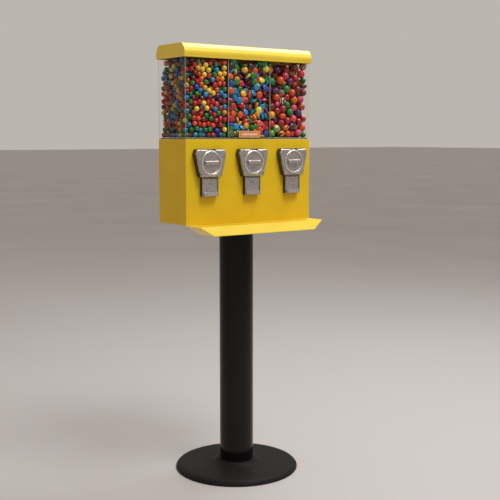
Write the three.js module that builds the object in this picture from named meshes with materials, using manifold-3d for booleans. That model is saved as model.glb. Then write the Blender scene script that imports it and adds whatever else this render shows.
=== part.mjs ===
// Three-compartment bulk candy dispenser: a sheet-metal head with coin mechanisms on a pole and a round base.
// Millimetres, +Z up. The origin is on the floor at the pole's axis. The front of the machine faces -Y.
import * as THREE from 'three';
import { mergeVertices } from 'three/addons/utils/BufferGeometryUtils.js';
import { ConvexGeometry } from 'three/addons/geometries/ConvexGeometry.js';
import Module from 'manifold-3d';

const wasm = await Module();
wasm.setup();

// ---------- driving dimensions ----------
const GAP = 0.3; // between pieces that touch
const THROUGH = 1; // a cutter runs this far past the face that it cuts

const HEAD_WIDTH = 388;
const HEAD_DEPTH = 126;
const SHEET = 1.5;
const CABINET_BOTTOM = 663.5;
const CABINET_TOP = 873.7;
const CANISTER_TOP = 1086.3;
const LID_BOTTOM = 1070.5;
const LID_TOP = 1104.5;
const VEND_COUNT = 3;
const VEND_PITCH = HEAD_WIDTH / VEND_COUNT;

const BASE_RADIUS = 162;
const BASE_THICKNESS = 14;
const BOSS_TOP = 24;
const POLE_RADIUS = 44.45;
const POLE_BORE = 41.95;
const POLE_TOP = 657.5;
const SPIGOT_RADIUS = 41.4; // on the base and on the top flange, inside the pole's ends
const ROD_RADIUS = 6;
const NUT_RADIUS = 10.5; // across the corners

const TRAY_BOTTOM = 640;
const TRAY_RIM_REACH = 57.5; // rim in front of the front panel
const TRAY_FLOOR_REACH = 70; // floor in front of the front panel
const TRAY_RIM_HALF = 193.5;
const TRAY_FLOOR_HALF = 157;
const TRAY_WALL = 1.8;

const CANISTER_WALL = 2.5;
const DIVIDER_X = HEAD_WIDTH / 6;
const DIVIDER_THICKNESS = 2.4;
const DIVIDER_TOP = 1078;
const HOPPER_BOTTOM = 874;
const HOPPER_TOP = 877;
const CANDY_TOP = 1062;

const LID_HALF_LENGTH = 197;
const LID_HALF_DEPTH = 66.5;
const LID_SHEET = 1.6;

const MECH_Z = 816; // handle shaft height
const MECH_FRONT = -80;
const HANDLE_RADIUS = 30;
const SHAFT_RADIUS = 4.5;
const SHAFT_BORE = 4.8;
const CARRIER_RADIUS = 28.5;
const CARRIER_FRONT = -70;
const CARRIER_BACK = -64.6;
const COIN_RADIUS = 12.4;
const STUD_RADIUS = 3;
const STUD_HOLE = 3.5;
const STUD_PLACES = [[-27, 787], [27, 787]];

const GEAR_TEETH = 16;
const CROWN_TEETH = 24;
const GEAR_MODULE = 3.5;
const GEAR_RADIUS = (GEAR_TEETH * GEAR_MODULE) / 2;
const CROWN_RADIUS = (CROWN_TEETH * GEAR_MODULE) / 2;
const GEAR_FACE = 6;
const TOOTH_REACH = 2.2; // each tooth past the pitch line
const WHEEL_Y = 4; // candy wheel axis
const WHEEL_RADIUS = 45.5;
const WHEEL_BOTTOM = 847;
const WHEEL_TOP = 869.5;
const POCKET_COUNT = 6;
const POCKET_RADIUS = 11;
const POCKET_CIRCLE = 26;
const SPINDLE_RADIUS = 4;

const CHUTE_HALF = 20; // inside half width
const CHUTE_WALL = 1.5;
const SPOUT_BOTTOM = 733.5;
const SPOUT_TOP = 779.7;
const CHEEK_OUTER = 24;
const CHEEK_INNER = 21.7;
const FLAP_PIN_Y = -70.9;
const FLAP_PIN_Z = 775.4;
const PIN_RADIUS = 1.2;
const PIN_HOLE = 1.4;

const DRAWER_BOTTOM = 682;
const DRAWER_TOP = 720;
const DRAWER_HALF = 180;
const DRAWER_FRONT = -45;
const DRAWER_BACK = 60.9;
const DRAWER_LOCK_Z = 703;
const LOCK_RADIUS = 9;
const LOCK_PLUG = 4.5;
const LOCK_BORE = 4.9;

const HALF_WIDTH = HEAD_WIDTH / 2;
const FRONT = -HEAD_DEPTH / 2;
const BACK = HEAD_DEPTH / 2;
const MECH_BACK = FRONT - GAP; // pieces mounted on the front panel end here
const PANEL_INNER = FRONT + SHEET;

// ---------- materials ----------
function paint(color, roughness, metalness) {
  return new THREE.MeshStandardMaterial({ color, roughness, metalness });
}

const yellowPaint = paint(0xe6bd33, 0.38, 0.1);
const blackEnamel = paint(0x151314, 0.25, 0.2);
const castZinc = paint(0x9a9796, 0.45, 0.85);
const zincPlate = paint(0xb8bcc0, 0.35, 0.9);
const clearPlastic = new THREE.MeshStandardMaterial({
  color: 0xeef4f5, roughness: 0.05, metalness: 0, transparent: true, opacity: 0.3,
});
const whitePlastic = paint(0xe9e6de, 0.5, 0);
const greyPlastic = paint(0x8a8d90, 0.55, 0);
const candyColours = [paint(0xb5402e, 0.3, 0), paint(0x4fa05a, 0.3, 0), paint(0xc9302c, 0.2, 0)];

// ---------- solids ----------
function solid(geometry) {
  const bare = geometry.index ? geometry : geometry.clone();
  bare.deleteAttribute('normal');
  bare.deleteAttribute('uv');
  const merged = mergeVertices(bare, 1e-4);
  const vertProperties = new Float32Array(merged.attributes.position.array);
  const triVerts = new Uint32Array(merged.index.array);
  return new wasm.Manifold(new wasm.Mesh({ numProp: 3, vertProperties, triVerts }));
}

function surface(body) {
  const mesh = body.getMesh();
  const geometry = new THREE.BufferGeometry();
  geometry.setAttribute('position', new THREE.BufferAttribute(new Float32Array(mesh.vertProperties), 3));
  geometry.setIndex(new THREE.BufferAttribute(new Uint32Array(mesh.triVerts), 1));
  geometry.computeVertexNormals();
  return geometry;
}

function box([x0, x1], [y0, y1], [z0, z1]) {
  const geometry = new THREE.BoxGeometry(x1 - x0, y1 - y0, z1 - z0);
  geometry.translate((x0 + x1) / 2, (y0 + y1) / 2, (z0 + z1) / 2);
  return solid(geometry);
}

const centred = (half) => [-half, half];

// A cylinder between two places along an axis. The centre gives the other two coordinates, in their order.
function rod(axis, radius, [from, to], [a, b] = [0, 0], segments = 20) {
  const geometry = new THREE.CylinderGeometry(radius, radius, to - from, segments);
  const middle = (from + to) / 2;
  if (axis === 'x') {
    geometry.rotateZ(Math.PI / 2);
    geometry.translate(middle, a, b);
  } else if (axis === 'y') {
    geometry.translate(a, middle, b);
  } else {
    geometry.rotateX(Math.PI / 2);
    geometry.translate(a, b, middle);
  }
  return solid(geometry);
}

function outline(points) {
  return new THREE.Shape(points.map(([u, v]) => new THREE.Vector2(u, v)));
}

// A flat outline of (y, z) points pulled along X.
function alongX(points, [x0, x1]) {
  const geometry = new THREE.ExtrudeGeometry(outline(points), { depth: x1 - x0, bevelEnabled: false });
  geometry.rotateY(Math.PI / 2);
  geometry.rotateX(Math.PI / 2);
  geometry.translate(x0, 0, 0);
  return solid(geometry);
}

// A flat outline of (x, z) points pulled along Y.
function alongY(points, [y0, y1]) {
  const geometry = new THREE.ExtrudeGeometry(outline(points), { depth: y1 - y0, bevelEnabled: false });
  geometry.rotateX(Math.PI / 2);
  geometry.translate(0, y1, 0);
  return solid(geometry);
}

// A closed loop of (radius, z) points turned around Z.
function turned(points, segments) {
  const loop = [...points, points[0]].map(([r, z]) => new THREE.Vector2(r, z));
  const geometry = new THREE.LatheGeometry(loop, segments);
  geometry.rotateX(Math.PI / 2);
  return solid(geometry);
}

const join = (first, ...others) => others.reduce((sum, next) => sum.add(next), first);
const cut = (first, ...others) => others.reduce((sum, next) => sum.subtract(next), first);

function piece(name, body, material, parent, place = [0, 0, 0]) {
  const mesh = new THREE.Mesh(surface(body), material);
  mesh.name = name;
  mesh.position.set(...place);
  parent.add(mesh);
}

// ---------- stand ----------
const BOSS_RADIUS = 52;
const BOSS_FOOT_RADIUS = 68;
const BASE_SPIGOT_TOP = 36;
const NUT_POCKET_RADIUS = 18;
const NUT_POCKET_TOP = 12;
const FLANGE_RADIUS = 58;
const FLANGE_SPIGOT_FOOT = 645;
const FLANGE_TOP = CABINET_BOTTOM - GAP;

function hexNut(foot, top) {
  return rod('z', NUT_RADIUS, [foot, top], [0, 0], 6);
}

function buildStand(parent) {
  const rodHole = ROD_RADIUS + 2 * GAP;
  const base = turned([
    [NUT_POCKET_RADIUS, 0],
    [BASE_RADIUS, 0],
    [BASE_RADIUS, 4],
    [BASE_RADIUS - 4, 10],
    [BASE_RADIUS - 11, BASE_THICKNESS],
    [BOSS_FOOT_RADIUS, BASE_THICKNESS + 1],
    [BOSS_RADIUS + 6, BASE_THICKNESS + 4],
    [BOSS_RADIUS, BOSS_TOP],
    [SPIGOT_RADIUS, BOSS_TOP],
    [SPIGOT_RADIUS, BASE_SPIGOT_TOP],
    [rodHole, BASE_SPIGOT_TOP],
    [rodHole, NUT_POCKET_TOP],
    [NUT_POCKET_RADIUS, NUT_POCKET_TOP],
  ], 44);
  piece('base_disc', base, blackEnamel, parent);

  const poleFoot = BOSS_TOP + GAP;
  const pole = turned([
    [POLE_BORE, poleFoot],
    [POLE_RADIUS, poleFoot],
    [POLE_RADIUS, POLE_TOP],
    [POLE_BORE, POLE_TOP],
  ], 32);
  piece('stand_pole', pole, blackEnamel, parent);

  const flange = turned([
    [rodHole, FLANGE_SPIGOT_FOOT],
    [SPIGOT_RADIUS, FLANGE_SPIGOT_FOOT],
    [SPIGOT_RADIUS, POLE_TOP + GAP],
    [FLANGE_RADIUS, POLE_TOP + GAP],
    [FLANGE_RADIUS, FLANGE_TOP],
    [rodHole, FLANGE_TOP],
  ], 28);
  piece('pole_top_flange', flange, blackEnamel, parent);

  const rodEnds = [3, 679];
  piece('tie_rod', rod('z', ROD_RADIUS, rodEnds, [0, 0], 16), zincPlate, parent);
  const threadHole = rod('z', ROD_RADIUS + GAP, [0, rodEnds[1] + THROUGH], [0, 0], 16);
  piece('rod_nut_lower', cut(hexNut(1.5, NUT_POCKET_TOP - GAP), threadHole), zincPlate, parent);
  const washerFoot = CABINET_BOTTOM + SHEET + GAP;
  const washer = rod('z', 15, [washerFoot, washerFoot + 2], [0, 0], 24);
  const upperNut = join(washer, hexNut(washerFoot + 1, washerFoot + 11));
  piece('rod_nut_upper', cut(upperNut, threadHole), zincPlate, parent);
}

// ---------- cabinet ----------
const LEDGE = 8; // inward flange that the canister stands on
const DRAWER_OPENING = { half: 187, bottom: 680, top: 726 };
const ROD_PASSAGE = 7;
const CARRIER_HOLE = 29.5;
const SPOUT_HOLE = [738, 775];
const INNER_HALF = HALF_WIDTH - SHEET;

function frontPanel() {
  const flangeEnds = [CABINET_BOTTOM + 3, CABINET_TOP - 3];
  const flangeDepth = [FRONT, PANEL_INNER + LEDGE];
  let panel = join(
    box(centred(HALF_WIDTH), [FRONT, PANEL_INNER], [CABINET_BOTTOM, CABINET_TOP]),
    box(centred(INNER_HALF - LEDGE - 1), flangeDepth, [CABINET_TOP - SHEET, CABINET_TOP]),
    box([-INNER_HALF + GAP, -INNER_HALF + GAP + SHEET], flangeDepth, flangeEnds),
    box([INNER_HALF - GAP - SHEET, INNER_HALF - GAP], flangeDepth, flangeEnds),
  );
  const through = [FRONT - THROUGH, PANEL_INNER + THROUGH];
  for (const x of vendPlaces()) {
    panel = cut(
      panel,
      rod('y', CARRIER_HOLE, through, [x, MECH_Z], 20),
      box([x - CHUTE_HALF, x + CHUTE_HALF], through, SPOUT_HOLE),
      ...STUD_PLACES.map(([u, z]) => rod('y', STUD_HOLE, through, [x + u, z], 8)),
    );
  }
  return panel;
}

function cabinetFloor(wrapFront) {
  const through = [CABINET_BOTTOM - THROUGH, CABINET_BOTTOM + SHEET + THROUGH];
  const sideNotch = [PANEL_INNER, PANEL_INNER + LEDGE + 1];
  return cut(
    box(centred(INNER_HALF - GAP), [wrapFront, BACK - SHEET - GAP], [CABINET_BOTTOM, CABINET_BOTTOM + SHEET]),
    rod('z', ROD_PASSAGE, through, [0, 0], 16),
    box([INNER_HALF - 2 * SHEET, INNER_HALF], sideNotch, through),
    box([-INNER_HALF, -INNER_HALF + 2 * SHEET], sideNotch, through),
  );
}

function buildCabinet(parent) {
  const wrapFront = PANEL_INNER + GAP;
  const cutFront = wrapFront - THROUGH;
  const ledgeFront = BACK - SHEET - LEDGE;
  const drawerHole = box(
    centred(DRAWER_OPENING.half),
    [BACK - SHEET - THROUGH, BACK + THROUGH],
    [DRAWER_OPENING.bottom, DRAWER_OPENING.top],
  );
  const shell = cut(
    box(centred(HALF_WIDTH), [wrapFront, BACK], [CABINET_BOTTOM, CABINET_TOP]),
    box(centred(INNER_HALF), [cutFront, BACK - SHEET], [CABINET_BOTTOM - THROUGH, CABINET_TOP - SHEET]),
    box(centred(INNER_HALF - LEDGE), [cutFront, ledgeFront], [CABINET_BOTTOM, CABINET_TOP + THROUGH]),
    drawerHole,
  );
  piece('cabinet_wrap', shell, yellowPaint, parent);
  piece('front_panel', frontPanel(), yellowPaint, parent);
  piece('cabinet_floor', cabinetFloor(wrapFront), yellowPaint, parent);
}

// ---------- tray ----------
const TRAY_FLANGE_HALF = 150;
const TRAY_FLANGE_DEPTH = 34;

// The rim is wider than the floor, and the floor reaches further forward, so the front and the ends slope.
function trayHull(inset, bottom, top) {
  const back = FRONT + SHEET - inset;
  const rim = [TRAY_RIM_HALF - inset, FRONT - TRAY_RIM_REACH + inset, top];
  const floor = [TRAY_FLOOR_HALF - inset, FRONT - TRAY_FLOOR_REACH + inset, bottom];
  const corners = [];
  for (const [half, front, z] of [rim, floor]) {
    for (const x of centred(half)) {
      corners.push(new THREE.Vector3(x, front, z), new THREE.Vector3(x, back, z));
    }
  }
  return solid(new ConvexGeometry(corners));
}

function buildTray(parent) {
  const rim = CABINET_BOTTOM - GAP;
  const flange = cut(
    box(centred(TRAY_FLANGE_HALF), [FRONT, FRONT + TRAY_FLANGE_DEPTH], [rim - SHEET, rim]),
    box(centred(FLANGE_RADIUS + 4), [FRONT + SHEET, 0], [rim - SHEET - THROUGH, rim + THROUGH]),
  );
  const hollow = trayHull(TRAY_WALL, TRAY_BOTTOM + SHEET, rim + SHEET);
  piece('delivery_tray', cut(join(trayHull(0, TRAY_BOTTOM, rim), flange), hollow), yellowPaint, parent);
}

// ---------- coin drawer ----------
const RAIL_SPAN = [-50, 58];
const RAIL_INNER = 172;
const RAIL_TOP = 700;
const DRAWER_FACE = { half: 186, bottom: 681, top: 725 };

function lockBarrel(axis, from, face, centre) {
  const rim = 2.3;
  return cut(
    join(
      rod(axis, LOCK_RADIUS, [from, face + THROUGH], centre, 20),
      rod(axis, LOCK_RADIUS + 4, [face + GAP, face + rim], centre, 20),
    ),
    rod(axis, LOCK_BORE, [from - THROUGH, face + rim + THROUGH], centre, 16),
  );
}

function drawerRail(side) {
  const outer = HALF_WIDTH - SHEET - GAP;
  const span = (from, to) => (side < 0 ? [-to, -from] : [from, to]);
  const foot = DRAWER_BOTTOM - 2.5;
  return join(
    box(span(RAIL_INNER, outer), RAIL_SPAN, [foot, DRAWER_BOTTOM - GAP]),
    box(span(outer - SHEET, outer), RAIL_SPAN, [foot, RAIL_TOP]),
  );
}

function buildDrawer(parent) {
  piece('drawer_rail_left', drawerRail(-1), zincPlate, parent);
  piece('drawer_rail_right', drawerRail(1), zincPlate, parent);

  const tub = cut(
    box(centred(DRAWER_HALF), [DRAWER_FRONT, DRAWER_BACK], [DRAWER_BOTTOM, DRAWER_TOP]),
    box(
      centred(DRAWER_HALF - SHEET),
      [DRAWER_FRONT + SHEET, DRAWER_BACK - SHEET],
      [DRAWER_BOTTOM + SHEET, DRAWER_TOP + THROUGH],
    ),
  );
  const face = box(centred(DRAWER_FACE.half), [DRAWER_BACK - 1, BACK], [DRAWER_FACE.bottom, DRAWER_FACE.top]);
  const lockCentre = [0, DRAWER_LOCK_Z];
  const lockHole = rod('y', LOCK_RADIUS + GAP, [DRAWER_BACK - 5, BACK + THROUGH], lockCentre, 20);
  piece('coin_drawer', cut(join(tub, face), lockHole), yellowPaint, parent);

  const camPlane = [56, 58.5];
  piece('drawer_lock_barrel', lockBarrel('y', camPlane[1] + GAP, BACK, lockCentre), zincPlate, parent);
  const cam = join(
    rod('y', LOCK_PLUG, [camPlane[0] + 1, BACK + 2], lockCentre, 16),
    box([-6, 26], camPlane, [DRAWER_LOCK_Z - 5, DRAWER_LOCK_Z + 5]),
  );
  piece('drawer_lock_cam', cam, zincPlate, parent);
}

// ---------- canister, dividers and candy ----------
const CANISTER_HALF = HALF_WIDTH - 0.5;
const CANISTER_HALF_DEPTH = BACK - 0.5;
const CANISTER_INNER = CANISTER_HALF - CANISTER_WALL;
const CANISTER_INNER_DEPTH = CANISTER_HALF_DEPTH - CANISTER_WALL;
const CONTENT_DEPTH = CANISTER_INNER_DEPTH - GAP;
const BRIDGE_HALF_DEPTH = 22;
const BRIDGE_THICKNESS = 2;
const BRIDGE_LEG = 12;

function hopperPlate() {
  let plate = box(centred(CANISTER_INNER - GAP), centred(CONTENT_DEPTH), [HOPPER_BOTTOM, HOPPER_TOP]);
  const through = [HOPPER_BOTTOM - THROUGH, HOPPER_TOP + THROUGH];
  for (const x of vendPlaces()) {
    const mouth = rod('z', WHEEL_RADIUS - 1.5, through, [x, WHEEL_Y], 20);
    const coverDepth = [WHEEL_Y + 10, WHEEL_Y + WHEEL_RADIUS];
    const dropCover = box([x - WHEEL_RADIUS, x + WHEEL_RADIUS], coverDepth, through);
    plate = cut(plate, cut(mouth, dropCover));
  }
  return plate;
}

// A strap across both dividers, with a slot for the lid's lock cam.
function lockBridge() {
  const foot = DIVIDER_TOP + GAP;
  const legInner = DIVIDER_X + DIVIDER_THICKNESS / 2 + GAP;
  const legOuter = legInner + BRIDGE_THICKNESS;
  const leg = [foot - BRIDGE_LEG, foot + 1];
  return cut(
    join(
      box(centred(legOuter), centred(BRIDGE_HALF_DEPTH), [foot, foot + BRIDGE_THICKNESS]),
      box([-legOuter, -legInner], centred(BRIDGE_HALF_DEPTH), leg),
      box([legInner, legOuter], centred(BRIDGE_HALF_DEPTH), leg),
    ),
    box(centred(17), centred(5.5), [foot - THROUGH, foot + BRIDGE_THICKNESS + THROUGH]),
  );
}

function buildCanister(parent) {
  const through = [HOPPER_BOTTOM - THROUGH, CANISTER_TOP + THROUGH];
  const walls = cut(
    box(centred(CANISTER_HALF), centred(CANISTER_HALF_DEPTH), [HOPPER_BOTTOM, CANISTER_TOP]),
    box(centred(CANISTER_INNER), centred(CANISTER_INNER_DEPTH), through),
  );
  piece('clear_canister', walls, clearPlastic, parent);
  piece('hopper_plate', hopperPlate(), greyPlastic, parent);

  const halfDivider = DIVIDER_THICKNESS / 2;
  const contentFoot = HOPPER_TOP + GAP;
  for (const [name, x] of [['divider_left', -DIVIDER_X], ['divider_right', DIVIDER_X]]) {
    const sheet = box([x - halfDivider, x + halfDivider], centred(CONTENT_DEPTH), [contentFoot, DIVIDER_TOP]);
    piece(name, sheet, clearPlastic, parent);
  }

  const faces = [-CANISTER_INNER, -DIVIDER_X - halfDivider, -DIVIDER_X + halfDivider];
  faces.push(...faces.map((x) => -x).reverse());
  for (let n = 0; n < VEND_COUNT; n += 1) {
    const span = [faces[2 * n] + GAP, faces[2 * n + 1] - GAP];
    const fill = box(span, centred(CONTENT_DEPTH), [contentFoot, CANDY_TOP]);
    piece(`candy_fill_${n + 1}`, fill, candyColours[n], parent);
  }
  piece('lock_bridge', lockBridge(), zincPlate, parent);
}

// ---------- lid ----------
// Half of the lid's section, from the skirt's foot up to the flat top, as (depth, height).
const LID_SECTION = [
  [LID_HALF_DEPTH - 2, LID_BOTTOM],
  [LID_HALF_DEPTH, LID_BOTTOM + 9],
  [LID_HALF_DEPTH, LID_BOTTOM + 14],
  [LID_HALF_DEPTH - 1.8, LID_BOTTOM + 20],
  [LID_HALF_DEPTH - 6.5, LID_BOTTOM + 27.5],
  [LID_HALF_DEPTH - 11.5, LID_BOTTOM + 32],
  [LID_HALF_DEPTH - 17, LID_TOP],
];

function lidBlock(inset, halfLength, foot) {
  const right = LID_SECTION.map(([y, z], i) => [y - inset, i === 0 ? foot : Math.min(z, LID_TOP - inset)]);
  const left = right.map(([y, z]) => [-y, z]).reverse();
  return alongX([...right, ...left], centred(halfLength));
}

function buildLid(parent) {
  const hollow = lidBlock(LID_SHEET, LID_HALF_LENGTH - LID_SHEET, LID_BOTTOM - THROUGH);
  const lockHole = rod('z', LOCK_RADIUS + GAP, [LID_TOP - 5, LID_TOP + THROUGH], [0, 0], 20);
  piece('lid', cut(lidBlock(0, LID_HALF_LENGTH, LID_BOTTOM), hollow, lockHole), yellowPaint, parent);

  const camPlane = [1072, 1074.5];
  piece('lid_lock_barrel', lockBarrel('z', 1092, LID_TOP, [0, 0]), zincPlate, parent);
  const plug = rod('z', LOCK_PLUG, [camPlane[0] + 1, LID_TOP + 2], [0, 0], 16);
  piece('lid_lock_cam', join(plug, box(centred(15), centred(4), camPlane)), zincPlate, parent);
}

// ---------- vend stations ----------
const SHIELD_FOOT = 780;
const SHIELD_TOP = 849.5;
const COIN_PATH = [-69.6, -66.4]; // the coin's slot through the top of the housing

function vendPlaces() {
  return Array.from({ length: VEND_COUNT }, (_, n) => (n - (VEND_COUNT - 1) / 2) * VEND_PITCH);
}

function coinHousing() {
  const right = [[31, SHIELD_FOOT], [34, SHIELD_FOOT + 2], [46.5, 837], [45, 844], [41, SHIELD_TOP]];
  const left = right.map(([x, z]) => [-x, z]).reverse();
  const studs = STUD_PLACES.map(([x, z]) => rod('y', STUD_RADIUS, [MECH_BACK - 3, -54], [x, z], 8));
  return cut(
    join(alongY([...right, ...left], [MECH_FRONT, MECH_BACK]), ...studs),
    rod('y', HANDLE_RADIUS + 0.7, [MECH_FRONT - THROUGH, -73.5], [0, MECH_Z], 28),
    rod('y', 5, [-75, -60], [0, MECH_Z], 12),
    rod('y', CARRIER_RADIUS + 0.7, [CARRIER_FRONT - 0.4, MECH_BACK + THROUGH], [0, MECH_Z], 24),
    box(centred(COIN_RADIUS + 1.1), COIN_PATH, [MECH_Z + 20, SHIELD_TOP + 2]),
    box(centred(COIN_RADIUS), [MECH_FRONT - THROUGH, COIN_PATH[1]], [SHIELD_TOP - 4.3, SHIELD_TOP + 2]),
  );
}

function coinHandle() {
  const disc = [-78, -73.8];
  const rimFront = -80.8;
  const grip = { half: 20.5, halfHeight: 6, front: -85 };
  const ring = cut(
    rod('y', HANDLE_RADIUS, [rimFront, disc[0] + 1], [0, MECH_Z], 28),
    rod('y', HANDLE_RADIUS - 3.5, [rimFront - THROUGH, disc[0] + 2], [0, MECH_Z], 28),
  );
  return join(
    rod('y', HANDLE_RADIUS, disc, [0, MECH_Z], 28),
    ring,
    box(centred(grip.half), [grip.front, disc[0] + 2], [MECH_Z - grip.halfHeight, MECH_Z + grip.halfHeight]),
    rod('y', SHAFT_RADIUS, [disc[0] + 2, -31], [0, MECH_Z], 12),
  );
}

// The disc that carries the coin round: a pocket open at the rim, sized for one coin.
function coinCarrier() {
  const pocketZ = MECH_Z + 19;
  const through = [CARRIER_FRONT - THROUGH, CARRIER_BACK + THROUGH];
  return cut(
    rod('y', CARRIER_RADIUS, [CARRIER_FRONT, CARRIER_BACK], [0, MECH_Z], 28),
    rod('y', SHAFT_BORE, through, [0, MECH_Z], 12),
    rod('y', COIN_RADIUS, through, [0, pocketZ], 16),
    box(centred(COIN_RADIUS), through, [pocketZ, pocketZ + 20]),
  );
}

function mechBackPlate() {
  const front = PANEL_INNER + GAP;
  const back = front + 2.5;
  const bushBack = -50;
  const through = [front - THROUGH, bushBack + THROUGH];
  const drop = 13.5; // the coin falls behind the panel this far below the shaft and to one side
  return cut(
    join(
      box(centred(36), [front, back], [781, 850]),
      rod('y', 8.5, [front, bushBack], [0, MECH_Z], 14),
    ),
    rod('y', SHAFT_BORE, through, [0, MECH_Z], 12),
    rod('y', COIN_RADIUS + 0.6, [front - THROUGH, back + THROUGH], [-drop, MECH_Z - drop], 16),
    ...STUD_PLACES.map(([x, z]) => rod('y', STUD_HOLE, through, [x, z], 8)),
  );
}

// Straight-sided teeth: half widths at the root and at the tip.
const GEAR_TOOTH = { root: 2.9, tip: 1.2 };
const CROWN_TOOTH = { root: 2.4, tip: 1.2 };

function driveGear() {
  const rootRadius = GEAR_RADIUS - TOOTH_REACH - 0.8;
  const tipRadius = GEAR_RADIUS + TOOTH_REACH;
  const flank = [
    [rootRadius, -GEAR_TOOTH.root],
    [tipRadius, -GEAR_TOOTH.tip],
    [tipRadius, GEAR_TOOTH.tip],
    [rootRadius, GEAR_TOOTH.root],
  ];
  const points = [];
  for (let n = 0; n < GEAR_TEETH; n += 1) {
    const middle = Math.PI / 2 - (n * 2 * Math.PI) / GEAR_TEETH;
    for (const [along, across] of flank) {
      points.push([
        along * Math.cos(middle) + across * Math.sin(middle),
        along * Math.sin(middle) - across * Math.cos(middle) + MECH_Z,
      ]);
    }
  }
  const y = WHEEL_Y - CROWN_RADIUS;
  const hub = [-49.5, y];
  return cut(
    join(alongY(points, [y - GEAR_FACE / 2, y + GEAR_FACE / 2]), rod('y', 8, hub, [0, MECH_Z], 14)),
    rod('y', SHAFT_BORE, [hub[0] - THROUGH, y + GEAR_FACE], [0, MECH_Z], 12),
  );
}

function candyWheel() {
  const through = [WHEEL_BOTTOM - THROUGH, WHEEL_TOP + THROUGH];
  let wheel = rod('z', WHEEL_RADIUS, [WHEEL_BOTTOM, WHEEL_TOP], [0, 0], 32);
  const tip = MECH_Z + GEAR_RADIUS - TOOTH_REACH;
  const root = WHEEL_BOTTOM + 0.5;
  const tooth = alongX([
    [-CROWN_TOOTH.tip, tip],
    [CROWN_TOOTH.tip, tip],
    [CROWN_TOOTH.root, root],
    [-CROWN_TOOTH.root, root],
  ], [CROWN_RADIUS - GEAR_FACE / 2, CROWN_RADIUS + GEAR_FACE / 2]);
  for (let n = 0; n < CROWN_TEETH; n += 1) {
    wheel = wheel.add(tooth.rotate([0, 0, ((n + 0.5) * 360) / CROWN_TEETH - 90]));
  }
  for (let n = 0; n < POCKET_COUNT; n += 1) {
    const turn = (n * 2 * Math.PI) / POCKET_COUNT + Math.PI / 2;
    const centre = [POCKET_CIRCLE * Math.cos(turn), POCKET_CIRCLE * Math.sin(turn)];
    wheel = wheel.subtract(rod('z', POCKET_RADIUS, through, centre, 12));
  }
  return wheel.subtract(rod('z', SPINDLE_RADIUS + 0.4, through, [0, 0], 14));
}

// A round pan under the wheel: a raised deck, a trough for the crown teeth, and a spindle in the middle.
function wheelPan() {
  const foot = 839.2;
  const wall = 1.8;
  const deck = WHEEL_BOTTOM - GAP;
  const inner = WHEEL_RADIUS + 1;
  const deckRadius = CROWN_RADIUS - GEAR_FACE / 2 - 0.8;
  const rim = HOPPER_BOTTOM - 2 * GAP;
  const spindleTop = HOPPER_BOTTOM - 1.2;
  const pan = turned([
    [0, deck - wall],
    [deckRadius - wall, deck - wall],
    [deckRadius - wall, foot],
    [inner + wall, foot],
    [inner + wall, rim],
    [inner, rim],
    [inner, foot + wall],
    [deckRadius, foot + wall],
    [deckRadius, deck],
    [SPINDLE_RADIUS, deck],
    [SPINDLE_RADIUS, spindleTop],
    [0, spindleTop],
  ], 28);
  const slotHalf = 21.5;
  const gearSlot = join(
    box(centred(slotHalf), [-60, -CROWN_RADIUS + GEAR_FACE / 2 + 0.5], [foot - THROUGH, foot + wall + 0.2]),
    box(centred(slotHalf), [-60, -CROWN_RADIUS], [foot - THROUGH, WHEEL_BOTTOM + 1]),
  );
  const dropHole = rod('z', POCKET_RADIUS + 0.4, [foot - THROUGH, deck + THROUGH], [0, POCKET_CIRCLE], 16);
  return cut(pan, gearSlot, dropHole);
}

// A sloping duct from behind the wheel's drop hole down to the spout.
function candyChute() {
  const inletTop = 838.9;
  const outer = [
    [45.5, inletTop],
    [45.5, 802.2],
    [-61, 736],
    [-61, 776.6],
    [-40.7, 777.6],
    [14.5, 821],
    [14.5, inletTop],
  ];
  const inner = [
    [44, inletTop + THROUGH],
    [44, 803],
    [-62, 737.5],
    [-62, 775],
    [-40, 776],
    [16, 820],
    [16, inletTop + THROUGH],
  ];
  return cut(alongX(outer, centred(CHUTE_HALF + CHUTE_WALL)), alongX(inner, centred(CHUTE_HALF)));
}

function chuteBezel() {
  const front = -74;
  const backPlate = -69.2; // the spout's face behind the flap
  const mouth = [SPOUT_HOLE[0] + 1, SPOUT_HOLE[1] - 1];
  return cut(
    box(centred(CHEEK_OUTER), [front, MECH_BACK], [SPOUT_BOTTOM, SPOUT_TOP]),
    box(centred(CHEEK_INNER), [front - THROUGH, backPlate], [SPOUT_BOTTOM - THROUGH, SPOUT_TOP - 1.4]),
    box(centred(CHUTE_HALF - SHEET), [backPlate - THROUGH, MECH_BACK + THROUGH], mouth),
    rod('x', 2.9, centred(CHEEK_INNER), [FLAP_PIN_Y, FLAP_PIN_Z], 12),
    rod('x', PIN_HOLE, centred(CHEEK_OUTER + THROUGH), [FLAP_PIN_Y, FLAP_PIN_Z], 10),
  );
}

function chuteFlap() {
  const half = CHEEK_INNER - GAP;
  const foot = SPOUT_BOTTOM + 0.5;
  const lipTop = 744;
  return cut(
    join(
      box(centred(half), [FLAP_PIN_Y - 1.3, FLAP_PIN_Y + 1.3], [foot, FLAP_PIN_Z]),
      rod('x', 2.4, centred(half), [FLAP_PIN_Y, FLAP_PIN_Z], 12),
      box(centred(half - GAP), [-77, FLAP_PIN_Y], [foot, lipTop]),
    ),
    rod('x', PIN_HOLE, centred(half + THROUGH), [FLAP_PIN_Y, FLAP_PIN_Z], 10),
  );
}

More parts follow.
